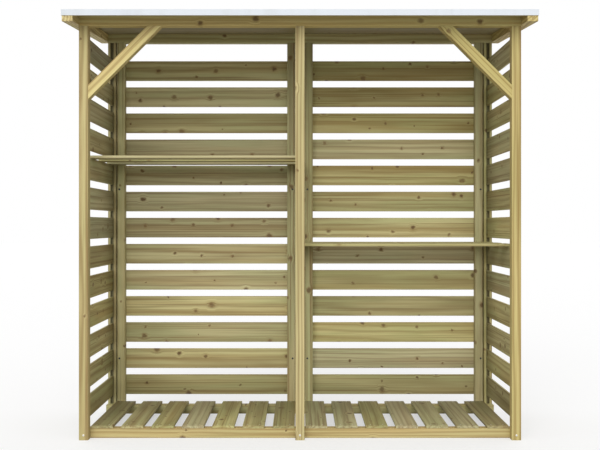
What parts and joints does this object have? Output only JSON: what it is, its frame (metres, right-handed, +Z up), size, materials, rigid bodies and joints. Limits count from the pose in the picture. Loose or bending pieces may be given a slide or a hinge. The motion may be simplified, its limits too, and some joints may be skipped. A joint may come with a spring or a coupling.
{
  "type": "log store",
  "caption": "Open-fronted timber log store with slatted sides, back, floor and shelves under a felted pent roof.",
  "frame": {"origin": "on the ground, under the middle of the roof", "axes": "+X to the right seen from the open front, +Y to the back, +Z up"},
  "size_m": [1.89, 0.729, 1.7859],
  "materials": {
    "framing_timber": "planed, pressure treated",
    "slat_timber": "planed, pressure treated",
    "roof_board": "plain board",
    "roof_felt": "mineral roofing felt"
  },
  "bodies": {
    "root": {"front_post_left": "framing_timber", "front_post_right": "framing_timber", "front_post_centre": "framing_timber", "rear_post_left": "framing_timber", "rear_post_right": "framing_timber", "rear_post_centre": "framing_timber", "front_beam": "framing_timber", "rear_beam": "framing_timber", "brace_left": "framing_timber", "brace_right": "framing_timber", "floor_bearer_front": "framing_timber", "floor_bearer_rear": "framing_timber", "shelf_bearer_left": "framing_timber", "shelf_bearer_right": "framing_timber", "roof_rail_left": "framing_timber", "roof_rail_right": "framing_timber", "roof_edge_batten_front": "framing_timber", "roof_edge_batten_rear": "framing_timber", "side_slats_left": "slat_timber", "side_slats_right": "slat_timber", "back_slats_left": "slat_timber", "back_slats_right": "slat_timber", "back_batten_left_outer": "slat_timber", "back_batten_left_inner": "slat_timber", "back_batten_right_inner": "slat_timber", "back_batten_right_outer": "slat_timber", "floor_boards_left": "slat_timber", "floor_boards_right": "slat_timber", "shelf_left": "slat_timber", "shelf_right": "slat_timber", "roof_deck": "roof_board", "roof_felt": "roof_felt"}
  },
  "joints": []
}
